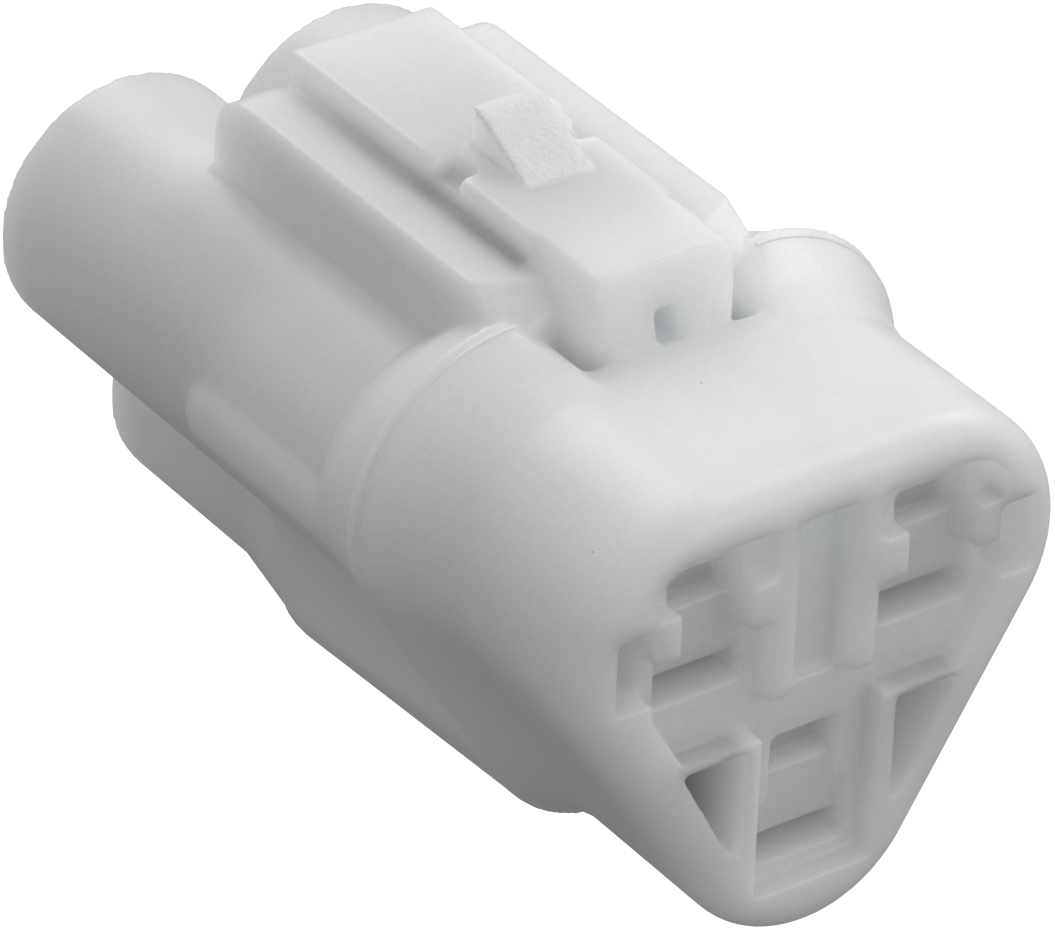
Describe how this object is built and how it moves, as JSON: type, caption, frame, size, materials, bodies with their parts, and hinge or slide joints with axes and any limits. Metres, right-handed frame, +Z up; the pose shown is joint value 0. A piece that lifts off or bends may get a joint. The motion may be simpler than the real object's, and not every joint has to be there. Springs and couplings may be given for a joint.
{
  "type": "wire to board connector housing",
  "caption": "Sealed plug housing moulded in one piece, with tubular wire entries in a triangle, a latch arm between guard rails and a collar round the nose.",
  "frame": {"origin": "centre of the cavity pattern, in the plane of the mating face", "axes": "+X across the housing to its right, +Y from the mating face to the wire entries, +Z up through the latch arm"},
  "size_m": [0.0172, 0.0271, 0.0189],
  "materials": {
    "nylon": "satin, natural milky nylon"
  },
  "bodies": {
    "root": {"housing": "nylon"}
  },
  "joints": []
}
